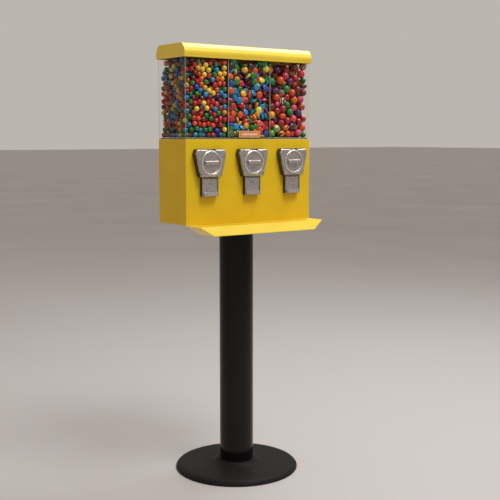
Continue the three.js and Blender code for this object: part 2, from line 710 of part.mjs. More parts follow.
function buildVend(parent, number, x) {
  const vend = new THREE.Group();
  vend.position.x = x;
  parent.add(vend);
  piece(`coin_mech_housing_${number}`, coinHousing(), castZinc, vend);
  piece(`coin_handle_${number}`, coinHandle(), castZinc, vend);
  piece(`coin_carrier_${number}`, coinCarrier(), zincPlate, vend);
  piece(`drive_gear_${number}`, driveGear(), whitePlastic, vend);
  piece(`mech_back_plate_${number}`, mechBackPlate(), zincPlate, vend);
  piece(`candy_wheel_${number}`, candyWheel(), whitePlastic, vend, [0, WHEEL_Y, 0]);
  piece(`wheel_pan_${number}`, wheelPan(), greyPlastic, vend, [0, WHEEL_Y, 0]);
  piece(`candy_chute_${number}`, candyChute(), greyPlastic, vend);
  piece(`chute_bezel_${number}`, chuteBezel(), castZinc, vend);
  piece(`chute_flap_${number}`, chuteFlap(), castZinc, vend);
  const pin = rod('x', PIN_RADIUS, centred(CHEEK_OUTER - 0.1), [FLAP_PIN_Y, FLAP_PIN_Z], 10);
  piece(`flap_pin_${number}`, pin, zincPlate, vend);
}

// ---------- the whole machine ----------
const dispenser = new THREE.Group();
buildStand(dispenser);
buildCabinet(dispenser);
buildTray(dispenser);
buildDrawer(dispenser);
buildCanister(dispenser);
buildLid(dispenser);
vendPlaces().forEach((x, n) => buildVend(dispenser, n + 1, x));

export default dispenser;
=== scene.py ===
"""A candy dispenser with three bins: painted sheet metal, cast coin mechanisms, clear walls and candy."""

import itertools
import math

import bmesh
import bpy
import numpy as np
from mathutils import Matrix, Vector


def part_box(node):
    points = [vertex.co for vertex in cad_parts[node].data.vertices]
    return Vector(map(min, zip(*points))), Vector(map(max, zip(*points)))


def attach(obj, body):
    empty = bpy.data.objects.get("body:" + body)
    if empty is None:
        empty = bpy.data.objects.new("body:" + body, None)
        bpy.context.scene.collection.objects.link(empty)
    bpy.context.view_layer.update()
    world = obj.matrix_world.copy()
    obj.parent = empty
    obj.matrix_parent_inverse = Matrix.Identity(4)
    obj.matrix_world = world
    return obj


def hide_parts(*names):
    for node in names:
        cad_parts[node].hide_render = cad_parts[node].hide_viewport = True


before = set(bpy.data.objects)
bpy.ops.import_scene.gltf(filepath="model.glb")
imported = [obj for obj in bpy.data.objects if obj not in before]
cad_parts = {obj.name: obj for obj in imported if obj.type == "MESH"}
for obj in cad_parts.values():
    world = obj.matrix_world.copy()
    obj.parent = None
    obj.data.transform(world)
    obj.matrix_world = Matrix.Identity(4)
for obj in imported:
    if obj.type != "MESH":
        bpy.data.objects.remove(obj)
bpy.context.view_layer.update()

MM = 0.001
ROOT = "stand_and_head"

# ---------- places, all taken from the frame ----------
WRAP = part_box("cabinet_wrap")
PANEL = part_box("front_panel")
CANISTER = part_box("clear_canister")
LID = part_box("lid")
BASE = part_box("base_disc")
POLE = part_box("stand_pole")
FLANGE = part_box("pole_top_flange")
HANDLES = [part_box(f"coin_handle_{n}") for n in (1, 2, 3)]
VEND_X = [(low.x + high.x) / 2 for low, high in HANDLES]
MECH_Z = (HANDLES[0][0].z + HANDLES[0][1].z) / 2
PANEL_FRONT = PANEL[0].y
GAP = 0.3 * MM


# ---------- node materials ----------
class Look:
    """A material, or the world, made by short calls. A grain is a feature's width in metres."""

    def __init__(self, name, world=False):
        self.owner = (bpy.data.worlds if world else bpy.data.materials).new(name)
        self.owner.use_nodes = True
        self.tree = self.owner.node_tree
        self.tree.nodes.clear()
        self.output = self.node("ShaderNodeOutputWorld" if world else "ShaderNodeOutputMaterial")
        self.place = self.node("ShaderNodeTexCoord").outputs["Generated" if world else "Object"]

    def node(self, kind, inputs=None, **settings):
        made = self.tree.nodes.new(kind)
        for key, value in settings.items():
            setattr(made, key, value)
        for key, value in (inputs or {}).items():
            self.feed(made.inputs[key], value)
        return made

    def feed(self, socket, value):
        if isinstance(value, bpy.types.NodeSocket):
            self.tree.links.new(value, socket)
        elif socket.type == "RGBA" and len(value) == 3:
            socket.default_value = (*value, 1)
        else:
            socket.default_value = value

    def stretched(self, scale):
        return self.node("ShaderNodeMapping", {"Vector": self.place, "Scale": scale}).outputs[0]

    def noise(self, grain, detail=3, rough=0.5, place=None):
        inputs = {"Vector": place or self.place, "Scale": 1 / grain, "Detail": detail, "Roughness": rough}
        return self.node("ShaderNodeTexNoise", inputs).outputs["Fac"]

    def cells(self, grain, feature, place=None, **more):
        inputs = {"Vector": place or self.place, "Scale": 1 / grain, **more}
        return self.node("ShaderNodeTexVoronoi", inputs, feature=feature).outputs["Distance"]

    def sum(self, operation, a, b=0.0, c=0.0):
        made = self.node("ShaderNodeMath", operation=operation)
        for socket, value in zip(made.inputs, (a, b, c)):
            self.feed(socket, value)
        return made.outputs[0]

    def between(self, value, low, high, to_low=0.0, to_high=1.0):
        inputs = {"Value": value, "From Min": low, "From Max": high, "To Min": to_low, "To Max": to_high}
        return self.node("ShaderNodeMapRange", inputs).outputs[0]

    def mix(self, share, a, b, blend="MIX"):
        made = self.node("ShaderNodeMix", data_type="RGBA", blend_type=blend)
        self.feed(made.inputs["Factor"], share)
        for socket, value in zip([s for s in made.inputs if s.type == "RGBA"], (a, b)):
            self.feed(socket, value)
        return next(s for s in made.outputs if s.type == "RGBA")

    def bump(self, height, depth, normal=None):
        inputs = {"Height": height, "Strength": 1.0, "Distance": depth}
        if normal:
            inputs["Normal"] = normal
        return self.node("ShaderNodeBump", inputs).outputs[0]

    def shown(self, shader):
        self.tree.links.new(shader.outputs[0], self.output.inputs["Surface"])
        return self.owner

    def finish(self, **inputs):
        named = {key.replace("_", " ").title().replace("Ior", "IOR"): value for key, value in inputs.items()}
        return self.shown(self.node("ShaderNodeBsdfPrincipled", named))


def srgb(code):
    """The linear colour of a hex code."""
    parts = [int(code[n:n + 2], 16) / 255 for n in (0, 2, 4)]
    return tuple(p / 12.92 if p <= 0.04045 else ((p + 0.055) / 1.055) ** 2.4 for p in parts)


DUST = (0.55, 0.5, 0.43)
GRIME = (0.16, 0.145, 0.135)


def painted(name, colour, worn, gloss, peel, dust, ior, coat):
    """Painted or enamelled metal: a faint orange peel, cloudy gloss, dust and hairline scratches."""
    look = Look(name)
    cloud = look.noise(70 * MM, 4)
    smear = look.noise(16 * MM, 6, 0.65)
    grain = look.noise(1.6 * MM, 2)
    hair = look.cells(26 * MM, "DISTANCE_TO_EDGE", look.stretched((1, 1, 0.16)))
    scratch = look.between(hair, 0.0, 0.012, 1.0, 0.0)
    spots = look.between(look.noise(5 * MM, 2), 0.62, 0.72)
    scratch = look.sum("MULTIPLY", scratch, spots)
    tone = look.mix(look.between(cloud, 0.35, 0.65), colour, tuple(c * 0.93 for c in colour))
    tone = look.mix(look.sum("MULTIPLY", scratch, 0.35), tone, worn)
    dusty = look.between(smear, 0.45, 0.8, 0.0, dust)
    tone = look.mix(dusty, tone, DUST)
    cloudy = look.between(smear, 0.3, 0.75, gloss, gloss + 0.12)
    rough = look.sum("MULTIPLY_ADD", scratch, 0.2, cloudy)
    surface = look.bump(grain, peel)
    return look.finish(base_color=tone, roughness=rough, normal=surface, ior=ior, coat_weight=coat,
                       coat_roughness=gloss * 0.5)


def hammered_zinc(name, light, dark):
    """Rough cast zinc, dimpled all over, with grime in its clouds."""
    look = Look(name)
    dimples = look.cells(3.2 * MM, "SMOOTH_F1", Smoothness=0.6)
    grain = look.noise(0.9 * MM, 3)
    grime = look.noise(9 * MM, 5, 0.6)
    tone = look.mix(look.between(dimples, 0.1, 0.6), light, dark)
    tone = look.mix(look.between(grime, 0.45, 0.75, 0, 0.45), tone, GRIME)
    rough = look.between(grime, 0.3, 0.7, 0.3, 0.5)
    surface = look.bump(grain, 0.12 * MM, look.bump(dimples, 0.55 * MM))
    return look.finish(base_color=tone, metallic=0.85, roughness=rough, normal=surface)


def bright_zinc():
    """The same casting where hands and polishing keep it bright."""
    look = Look("bright_zinc")
    grime = look.noise(6 * MM, 5, 0.6)
    grain = look.noise(0.7 * MM, 3)
    tone = look.mix(look.between(grime, 0.4, 0.7), (0.92, 0.90, 0.88), (0.74, 0.72, 0.70))
    rough = look.between(grime, 0.3, 0.7, 0.2, 0.36)
    return look.finish(base_color=tone, metallic=0.9, roughness=rough, normal=look.bump(grain, 0.05 * MM))


def plated(name, colour, gloss):
    """Plated steel with a dull bloom and a fine grain."""
    look = Look(name)
    grain = look.noise(0.6 * MM, 3, 0.6)
    bloom = look.noise(11 * MM, 4, 0.6)
    dull = tuple(c * k for c, k in zip(colour, (0.86, 0.84, 0.78)))
    tone = look.mix(look.between(bloom, 0.4, 0.7), colour, dull)
    cloudy = look.between(bloom, 0.3, 0.7, gloss, gloss + 0.12)
    rough = look.sum("ADD", cloudy, look.between(grain, 0.3, 0.7, 0, 0.08))
    return look.finish(base_color=tone, metallic=1.0, roughness=rough, normal=look.bump(grain, 0.03 * MM))


def moulded(name, colour, gloss):
    """Moulded plastic with a fine texture."""
    look = Look(name)
    grain = look.noise(0.5 * MM, 3)
    cloud = look.noise(20 * MM, 5, 0.6)
    tone = look.mix(look.between(cloud, 0.35, 0.7), colour, tuple(c * 0.82 for c in colour))
    rough = look.between(cloud, 0.3, 0.7, gloss, gloss + 0.15)
    return look.finish(base_color=tone, roughness=rough, normal=look.bump(grain, 0.06 * MM))


def clear_sheet(name, tint, haze):
    """Clear plastic sheet with a reflection that grows at a slant, faint scuffs and dust."""
    look = Look(name)
    scuff = look.between(look.noise(7 * MM, 6, 0.7, look.stretched((1, 1, 0.5))), 0.5, 0.85, 0, haze)
    facing = look.node("ShaderNodeLayerWeight", {"Blend": 0.5}).outputs["Facing"]
    edge = look.sum("MULTIPLY_ADD", look.sum("POWER", facing, 4.0), 0.15, 0.003)
    through = look.node("ShaderNodeBsdfTransparent", {"Color": tint}).outputs[0]
    gloss_rough = look.between(look.noise(15 * MM, 4), 0.3, 0.7, 0.04, 0.12)
    shine = look.node("ShaderNodeBsdfGlossy", {"Color": (1, 1, 1), "Roughness": gloss_rough}).outputs[0]
    dust = look.node("ShaderNodeBsdfDiffuse", {"Color": (0.8, 0.79, 0.76)}).outputs[0]
    clean = look.node("ShaderNodeMixShader", {0: edge, 1: through, 2: shine}).outputs[0]
    return look.shown(look.node("ShaderNodeMixShader", {0: scuff, 1: clean, 2: dust}))


def sawn_edge():
    """The edges of clear sheet, which look milky and bright."""
    look = Look("sheet_edges")
    streak = look.noise(1.2 * MM, 4, 0.6, look.stretched((1, 1, 0.08)))
    tone = look.mix(look.between(streak, 0.35, 0.7), (0.42, 0.47, 0.44), (0.20, 0.25, 0.23))
    return look.finish(base_color=tone, roughness=0.35, alpha=0.7, normal=look.bump(streak, 0.05 * MM))


def sugar_shell(name, patterned=False):
    """Candy coating. A candy's colour, darkened by painted shade, is stored on its points, and a second one
    for its pattern.
    """
    look = Look(name)
    tint = look.node("ShaderNodeAttribute", attribute_name="tint").outputs["Color"]
    mottle = look.noise(2.5 * MM, 4, 0.6)
    tone = look.mix(look.between(mottle, 0.45, 0.8, 0, 0.05), tint, (0.9, 0.85, 0.8))
    if patterned:
        second = look.node("ShaderNodeAttribute", attribute_name="second_tint").outputs["Color"]
        spin = look.node("ShaderNodeAttribute", attribute_name="spin").outputs["Vector"]
        kind = look.node("ShaderNodeAttribute", attribute_name="pattern").outputs["Fac"]
        x, y, z = look.node("ShaderNodeSeparateXYZ", {"Vector": spin}).outputs
        turn = look.sum("ARCTAN2", y, x)
        wobble = look.sum("MULTIPLY", look.noise(6 * MM, 2), 1.5)
        climb = look.sum("MULTIPLY_ADD", z, 4.0, wobble)
        swirl = look.sum("SINE", look.sum("MULTIPLY_ADD", turn, 5.0, climb))
        rings = look.sum("SINE", look.sum("MULTIPLY_ADD", z, 13.0, wobble))
        is_ringed = look.sum("GREATER_THAN", kind, 1.5)
        is_marked = look.sum("GREATER_THAN", kind, 0.5)
        wave = look.sum("ADD", look.sum("MULTIPLY", swirl, look.sum("SUBTRACT", 1.0, is_ringed)),
                        look.sum("MULTIPLY", rings, is_ringed))
        share = look.sum("MULTIPLY", look.between(wave, 0.15, 0.4), is_marked)
        tone = look.mix(share, tone, second)
    rough = look.between(mottle, 0.3, 0.7, 0.14, 0.24)
    return look.finish(base_color=tone, roughness=rough, coat_weight=0.3, coat_roughness=0.08,
                       normal=look.bump(mottle, 0.08 * MM))


PRIMER = (0.30, 0.27, 0.22)
YELLOW = painted("yellow_paint", (0.80, 0.535, 0.005), PRIMER, 0.32, 0.05 * MM, 0.03, 1.4, 0.05)
# lid and tray: a glossier finish of their own, in a lighter yellow that is painted light, standing in for the
# bright overhead light on them
GLOSSY_LIT_YELLOW = painted("glossy_lit_yellow", (0.90, 0.66, 0.03), PRIMER, 0.42, 0.04 * MM, 0.03, 1.5, 0.6)
BARE_POLE, BARE_BASE = (0.08, 0.075, 0.07), (0.06, 0.055, 0.05)
BLACK = painted("black_enamel", (0.005, 0.0045, 0.005), BARE_POLE, 0.07, 0.012 * MM, 0.003, 1.31, 0.0)
CAST = painted("base_enamel", (0.014, 0.013, 0.0135), BARE_BASE, 0.46, 0.08 * MM, 0.006, 1.16, 0.0)
ZINC = hammered_zinc("hammered_zinc", (0.68, 0.64, 0.625), (0.42, 0.39, 0.38))
# painted shade: a much darker copy of the hammered zinc, for casting faces that turn away from the light
SHADED_ZINC = hammered_zinc("shaded_side_zinc", (0.15, 0.14, 0.135), (0.06, 0.055, 0.05))
BRIGHT = bright_zinc()
PLATE = plated("zinc_plate", (0.60, 0.60, 0.585), 0.28)
CHROME = plated("lock_chrome", (0.72, 0.72, 0.73), 0.08)
CLEAR = clear_sheet("clear_sheet", (0.985, 0.99, 0.985), 0.012)
EDGE = sawn_edge()
WHITE = moulded("white_moulding", (0.78, 0.76, 0.69), 0.38)
GREY = moulded("grey_moulding", (0.16, 0.165, 0.17), 0.42)
SHELL = sugar_shell("sugar_shell")
SWIRL = sugar_shell("boiled_sugar", patterned=True)


# ---------- mesh helpers ----------
WELD = 2e-6
FLAT = math.radians(0.8)
FOLD = 28


def added(name, data):
    """A new object in the scene."""
    made = bpy.data.objects.new(name, data)
    bpy.context.scene.collection.objects.link(made)
    return made


def mesh_of(bm, name):
    """The mesh of a bmesh, which is freed."""
    mesh = bpy.data.meshes.new(name)
    bmesh.ops.recalc_face_normals(bm, faces=bm.faces)
    bm.to_mesh(mesh)
    bm.free()
    return mesh


def finished(name, bm, material, body=ROOT, replaces=(), crease=32):
    """Makes a shaded piece of a bmesh, riding on a body."""
    mesh = mesh_of(bm, name)
    for each in material if isinstance(material, tuple) else (material,):
        mesh.materials.append(each)
    mesh.shade_smooth()
    mesh.set_sharp_from_angle(angle=math.radians(crease))
    piece = added(name, mesh)
    piece.modifiers.new("even_shading", "WEIGHTED_NORMAL").keep_sharp = True
    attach(piece, body)
    if replaces:
        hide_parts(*replaces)


def soften(bm, width, segments=2, angle=FOLD, where=None):
    """Rounds the edges that turn by more than an angle."""
    limit = math.radians(angle)
    folds = [e for e in bm.edges if e.is_manifold and e.calc_face_angle(0) > limit]
    sharp = [e for e in folds if where is None or where(e)]
    if sharp:
        bmesh.ops.bevel(bm, geom=sharp, offset=width, segments=segments, profile=0.5, affect="EDGES",
                        clamp_overlap=True, loop_slide=False)
    bmesh.ops.remove_doubles(bm, verts=bm.verts, dist=WELD / 2)


def tidy_copy(node):
    """A CAD node's shape as a bmesh, with its flat faces made whole."""
    bm = bmesh.new()
    bm.from_mesh(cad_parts[node].data)
    bmesh.ops.remove_doubles(bm, verts=bm.verts, dist=WELD)
    bmesh.ops.dissolve_limit(bm, angle_limit=FLAT, verts=bm.verts, edges=bm.edges)
    return bm


def rounded(points, steps=5):
    """A closed loop of (u, v, radius) corners with each corner turned into an arc of that radius."""
    loop = []
    count = len(points)
    for n, (u, v, radius) in enumerate(points):
        here = Vector((u, v))
        if radius <= 0:
            loop.append(here)
            continue
        to_last = Vector(points[n - 1][:2]) - here
        to_next = Vector(points[(n + 1) % count][:2]) - here
        half = to_last.angle(to_next) / 2
        back = min(radius / math.tan(half), 0.49 * to_last.length, 0.49 * to_next.length)
        radius = back * math.tan(half)
        middle = here + (to_last.normalized() + to_next.normalized()).normalized() * radius / math.sin(half)
        start = here + to_last.normalized() * back - middle
        end = here + to_next.normalized() * back - middle
        first = math.atan2(start.y, start.x)
        sweep = math.remainder(math.atan2(end.y, end.x) - first, 2 * math.pi)
        for step in range(steps + 1):
            angle = first + sweep * step / steps
            loop.append(middle + Vector((math.cos(angle), math.sin(angle))) * radius)
    return loop


def across(outline, axis, centre, place):
    """The points of an outline laid across an axis, at a place along it."""
    points = [[centre[0] + u, centre[1] + v] for u, v in outline]
    for point in points:
        point.insert("xyz".index(axis), place)
    return [Vector(point) for point in points]


def skin(bm, rings, closed_ends=True, ring_closes=False):
    """Faces between rings of points, which may be single points."""
    rows = [[bm.verts.new(p) for p in ring] for ring in rings]
    pairs = list(zip(rows, rows[1:]))
    if ring_closes:
        pairs.append((rows[-1], rows[0]))
    for one, two in pairs:
        size = max(len(one), len(two))
        for n in range(size):
            near = (one[n % len(one)], one[(n + 1) % len(one)])
            far = (two[(n + 1) % len(two)], two[n % len(two)])
            unique = list(dict.fromkeys(near + far))
            if len(unique) > 2:
                bm.faces.new(unique)
    if closed_ends and not ring_closes:
        for row in (rows[0], rows[-1]):
            if len(row) > 2:
                bm.faces.new(row)


def circle(radius, count):
    """Points evenly round a circle, from the first axis on."""
    angles = [2 * math.pi * n / count for n in range(count)]
    return [(radius * math.cos(a), radius * math.sin(a)) for a in angles]


def turned(profile, axis="z", centre=(0, 0), segments=96):
    """A profile of (radius, place) turned round an axis. It closes on itself, or its ends are on the axis."""
    bm = bmesh.new()
    on_centre = 1e-7
    rings = []
    for radius, place in profile:
        around = circle(radius, segments) if radius > on_centre else [(0.0, 0.0)]
        rings.append(across(around, axis, centre, place))
    skin(bm, rings, closed_ends=False, ring_closes=profile[0][0] > on_centre)
    return bm


def prism(outline, axis, span, centre=(0, 0)):
    """A flat outline pulled along an axis."""
    bm = bmesh.new()
    skin(bm, [across(outline, axis, centre, place) for place in span])
    return bm


def rectangle(half_u, v_low, v_high, radius, u=0.0):
    """A rectangle's outline with round corners, its middle at u."""
    corners = [(u - half_u, v_low), (u + half_u, v_low), (u + half_u, v_high), (u - half_u, v_high)]
    return rounded([(*c, radius) for c in corners], 4)


def carved(bm, *others, operation="DIFFERENCE"):
    """One solid with others cut out of it or joined to it."""
    whole, *tools = [added("tool", mesh_of(solid, "tool")) for solid in (bm, *others)]
    for tool in tools:
        change = whole.modifiers.new("change", "BOOLEAN")
        change.object, change.operation, change.solver = tool, operation, "EXACT"
    graph = bpy.context.evaluated_depsgraph_get()
    graph.update()
    result = bmesh.new()
    result.from_mesh(whole.evaluated_get(graph).to_mesh())
    for tool in (whole, *tools):
        bpy.data.objects.remove(tool)
    bmesh.ops.remove_doubles(result, verts=result.verts, dist=WELD)
    bmesh.ops.dissolve_limit(result, angle_limit=math.radians(0.5), verts=result.verts, edges=result.edges)
    return result


def mark_faces(bm, chosen, index=1):
    """Gives another of the piece's materials to the faces that a test chooses."""
    for face in bm.faces:
        face.material_index = index if chosen(face, face.calc_center_median()) else 0


def carried(node, material):
    """A CAD node that stays: its edges are rounded by modifiers, and it gets its material."""
    edge = 0.3 * MM
    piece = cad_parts[node]
    mesh = piece.data
    mesh.materials.clear()
    mesh.materials.append(material)
    if "custom_normal" in mesh.attributes:
        mesh.attributes.remove(mesh.attributes["custom_normal"])
    mesh.shade_smooth()
    weld = piece.modifiers.new("weld", "WELD")
    weld.merge_threshold = WELD
    flat = piece.modifiers.new("flat", "DECIMATE")
    flat.decimate_type = "DISSOLVE"
    flat.angle_limit = FLAT
    bevel = piece.modifiers.new("edges", "BEVEL")
    bevel.width, bevel.segments, bevel.limit_method = edge, 2, "ANGLE"
    bevel.angle_limit = math.radians(FOLD)
    bevel.harden_normals = True


def refined(node, name, material, edge, body=ROOT, big=None, big_radius=0.0, seam=None):
    """Stands for a sheet-metal node, with a real bend radius on its folds and a small one on cut edges."""
    bm = tidy_copy(node)
    if seam:
        soften(bm, 0.8 * MM, 3, where=seam)
    if big:
        soften(bm, big_radius, 5, where=big)
    soften(bm, edge)
    finished(name, bm, material, body, (node,))


# ---------- stand ----------
def build_stand():
    """The base casting, the pole, the flange on top of it, and the rod that clamps them."""
    radius = BASE[1].x
    boss_top = POLE[0].z - GAP
    pole_radius = POLE[1].x
    bore = pole_radius - 2.5 * MM
    spigot = bore - 0.55 * MM
    rod_hole = 6.6 * MM
    nut_well, well_top = 18 * MM, 12 * MM
    profile = [
        (nut_well, 0, 1 * MM),
        (radius - 1 * MM, 0, 0.8 * MM),
        (radius, 2 * MM, 1 * MM),
        (radius, 5 * MM, 2.5 * MM),
        (radius - 4 * MM, 10.2 * MM, 5 * MM),
        (radius - 12 * MM, 13.6 * MM, 8 * MM),
        (radius - 94 * MM, 15 * MM, 12 * MM),
        (radius - 104.5 * MM, 17.6 * MM, 10 * MM),
        (radius - 110 * MM, boss_top, 1.6 * MM),
        (spigot, boss_top, 0.4 * MM),
        (spigot, BASE[1].z, 1 * MM),
        (rod_hole, BASE[1].z, 0.5 * MM),
        (rod_hole, well_top, 0.5 * MM),
        (nut_well, well_top, 0.5 * MM),
    ]
    base = turned(rounded(profile, 6), segments=160)
    finished("base_casting", base, CAST, ROOT, ("base_disc",))

    tube = [(bore, POLE[0].z, 0.5 * MM), (pole_radius, POLE[0].z, 0.8 * MM),
            (pole_radius, POLE[1].z, 0.8 * MM), (bore, POLE[1].z, 0.5 * MM)]
    pole = turned(rounded(tube, 3), segments=128)
    finished("pole_tube", pole, BLACK, ROOT, ("stand_pole",))

    collar = POLE[1].z + GAP
    rim, low, high = FLANGE[1].x, FLANGE[0].z, FLANGE[1].z
    profile = [(rod_hole, low, 0), (spigot, low, 1 * MM), (spigot, collar, 0.3 * MM), (rim, collar, 1 * MM),
               (rim, high, 1 * MM), (rod_hole, high, 0.3 * MM)]
    flange = turned(rounded(profile, 3))
    finished("top_flange", flange, BLACK, ROOT, ("pole_top_flange",))
    for node in ("tie_rod", "rod_nut_lower", "rod_nut_upper"):
        carried(node, PLATE)


# ---------- cabinet, tray, lid and drawer ----------
LOCK_RADIUS = 9 * MM


def along(edge, axis):
    """True if an edge runs along an axis (0, 1 or 2)."""
    run = edge.verts[1].co - edge.verts[0].co
    return abs(run[axis]) > 0.9 * run.length


def middle(edge):
    return (edge.verts[0].co + edge.verts[1].co) / 2


def build_cabinet():
    """The wrap and the front panel, with a small groove where they meet, and the floor."""
    outer = WRAP[1]
    near = 0.2 * MM
    edge = 0.35 * MM

    def on_side(point):
        return abs(abs(point.x) - outer.x) < near

    def wrap_fold(e):
        m = middle(e)
        at_back = m.y > outer.y - near
        rim = abs(m.z - outer.z) < near and (on_side(m) or at_back)
        return (on_side(m) and at_back) if along(e, 2) else rim

    def panel_fold(e):
        m = middle(e)
        return m.y < PANEL_FRONT + near and m.z > PANEL[1].z - near and along(e, 0)

    def seam(e):
        m = middle(e)
        return along(e, 2) and on_side(m) and abs(m.y - WRAP[0].y) < 1 * MM

    refined("cabinet_wrap", "cabinet_shell", YELLOW, edge, big=wrap_fold, big_radius=2 * MM, seam=seam)
    refined("front_panel", "cabinet_front", YELLOW, edge, big=panel_fold, big_radius=1.4 * MM, seam=seam)
    refined("cabinet_floor", "cabinet_base", YELLOW, 0.3 * MM)
    for node in ("drawer_rail_left", "drawer_rail_right", "lock_bridge"):
        carried(node, PLATE)


def build_tray():
    """The flared tray, with folded bends round its floor and at its ends."""
    low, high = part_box("delivery_tray")
    near = 0.3 * MM

    def bend(e):
        m = middle(e)
        on_floor = m.z < low.z + near
        on_end = 0.1 * MM < m.z - low.z < high.z - low.z - 0.1 * MM and m.y < PANEL_FRONT - 2 * MM
        outside = e.link_faces[0].normal.z < 0.5 and e.link_faces[1].normal.z < 0.5
        return outside and (on_floor or on_end) and e.is_convex

    # the tray's lighter yellow is painted light
    refined("delivery_tray", "catch_tray", GLOSSY_LIT_YELLOW, 0.5 * MM, big=bend, big_radius=2.2 * MM)


def lid_section(shrink, foot):
    """Half of the lid's section from the skirt's foot to the flat top, as (depth, height, corner radius)."""
    half = LID[1].y - shrink
    base, top = LID[0].z, LID[1].z - shrink
    return [
        (half - 2 * MM, foot, 0.3 * MM),
        (half, base + 10 * MM, 3 * MM),
        (half, base + 15 * MM, 6 * MM),
        (half - 3.6 * MM, base + 24 * MM, 14 * MM),
        (half - 10 * MM, base + 31.3 * MM, 12 * MM),
        (half - 17 * MM, top, 9 * MM),
    ]


def lid_solid(shrink, foot, half_length):
    """The lid's section pulled along its length."""
    right = lid_section(shrink, foot)
    left = [(-y, z, r) for y, z, r in reversed(right)]
    return prism(rounded(right + left), "x", (-half_length, half_length))


def build_lid():
    """A moulded cover with an open underside, and its lock."""
    sheet = 1.6 * MM
    outside = lid_solid(0, LID[0].z, LID[1].x)
    soften(outside, 2.2 * MM, 4, 60)
    inside = lid_solid(sheet, LID[0].z - 1 * MM, LID[1].x - sheet)
    hole, under, over = LOCK_RADIUS + GAP, LID[1].z - 5 * MM, LID[1].z + 1 * MM
    drill = turned([(0, under), (hole, under), (hole, over), (0, over)], segments=48)
    lid = carved(outside, inside, drill)
    # the lid's lighter yellow is painted light
    finished("lid_cover", lid, GLOSSY_LIT_YELLOW, "lid_body", ("lid",), crease=40)
    arm = rectangle(15 * MM, -4 * MM, 4 * MM, 2 * MM)
    lock_set("lid_lock", "z", (0, 0), LID[1].z, arm, "lid_body")


def build_drawer():
    """The coin drawer, with rounder edges round its face, and its lock."""
    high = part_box("coin_drawer")[1]
    barrel_low, barrel_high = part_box("drawer_lock_barrel")
    centre = (0, (barrel_low.z + barrel_high.z) / 2)

    def face_rim(e):
        return middle(e).y > high.y - 0.1 * MM and abs(middle(e).x) > 20 * MM

    refined("coin_drawer", "drawer_tub", YELLOW, 0.3 * MM, "drawer", big=face_rim, big_radius=1 * MM)
    arm = rectangle(16 * MM, -5 * MM, 5 * MM, 2 * MM, 10 * MM)
    lock_set("drawer_lock", "y", centre, high.y, arm, "drawer")


def lock_set(name, axis, centre, face, cam, body):
    """A cam lock: a rimmed barrel, and a plug with a key slot that carries the cam."""
    depth = "xyz".index(axis)
    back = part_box(f"{name}_barrel")[0][depth]
    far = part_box(f"{name}_cam")[0][depth]
    rim = face + 2.3 * MM
    plug_hole = 4.9 * MM
    profile = [
        (plug_hole, back, 0.2 * MM),
        (LOCK_RADIUS, back, 0.4 * MM),
        (LOCK_RADIUS, face + GAP, 0.1 * MM),
        (13 * MM, face + GAP, 0.3 * MM),
        (12 * MM, rim, 0.9 * MM),
        (6 * MM, rim, 0.4 * MM),
        (plug_hole, rim - 0.6 * MM, 0.1 * MM),
    ]
    case = turned(rounded(profile, 4), axis, centre, 64)
    finished(f"{name}_case", case, CHROME, body, (f"{name}_barrel",))
    plug = turned([(0, far + 1 * MM), (4.4 * MM, far + 1 * MM), (4.5 * MM, face + 1.4 * MM),
                   (4.1 * MM, face + 2 * MM), (0, face + 2 * MM)], axis, centre, 48)
    slot = rectangle(0.7 * MM, -2.9 * MM, 2.9 * MM, 0.4 * MM)
    plug = carved(plug, prism(slot, axis, (face - 4 * MM, face + 3 * MM), centre))
    arm = prism(cam, axis, (far, far + 2.5 * MM), centre)
    soften(arm, 0.3 * MM)
    whole = carved(arm, plug, operation="UNION")
    finished(f"{name}_plug", whole, CHROME, name, (f"{name}_cam",))


# ---------- vend stations ----------
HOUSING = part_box("coin_mech_housing_1")
HOUSING_FRONT = HOUSING[0].y
HOUSING_BACK = PANEL_FRONT - GAP
HALF_WIDTH = (HOUSING[1].x - HOUSING[0].x) / 2
SHIELD_RIGHT = [
    (HALF_WIDTH - 14.5 * MM, HOUSING[0].z, 3 * MM),
    (HALF_WIDTH, HOUSING[1].z - 12 * MM, 5 * MM),
    (HALF_WIDTH - 4.5 * MM, HOUSING[1].z, 3.5 * MM),
]
SHIELD = SHIELD_RIGHT + [(-u, v, r) for u, v, r in reversed(SHIELD_RIGHT)]
SEAT = 30.7 * MM


def reach(outline, angle):
    """How far a closed outline is from its inner point at (0, MECH_Z), in one direction."""
    du, dv = math.cos(angle), math.sin(angle)
    best = 0.0
    for one, two in zip(outline, outline[1:] + outline[:1]):
        a, b = one[0], one[1] - MECH_Z
        eu, ev = two[0] - one[0], two[1] - one[1]
        cross = du * ev - dv * eu
        if abs(cross) > 1e-12:
            far = (a * ev - b * eu) / cross
            share = (a * dv - b * du) / cross
            if far > 0 and -1e-6 <= share <= 1 + 1e-6:
                best = max(best, far)
    return best


def paint_side_shade(bm, x):
    """Gives the faces round the sides of a casting, but not in its seat, the darker zinc: painted shade for
    faces turned away from the light.
    """
    far = SEAT + 0.2 * MM
    bmesh.ops.recalc_face_normals(bm, faces=bm.faces)
    mark_faces(bm, lambda face, m: abs(face.normal.y) < 0.3 and math.hypot(m.x - x, m.z - MECH_Z) > far)
    return bm


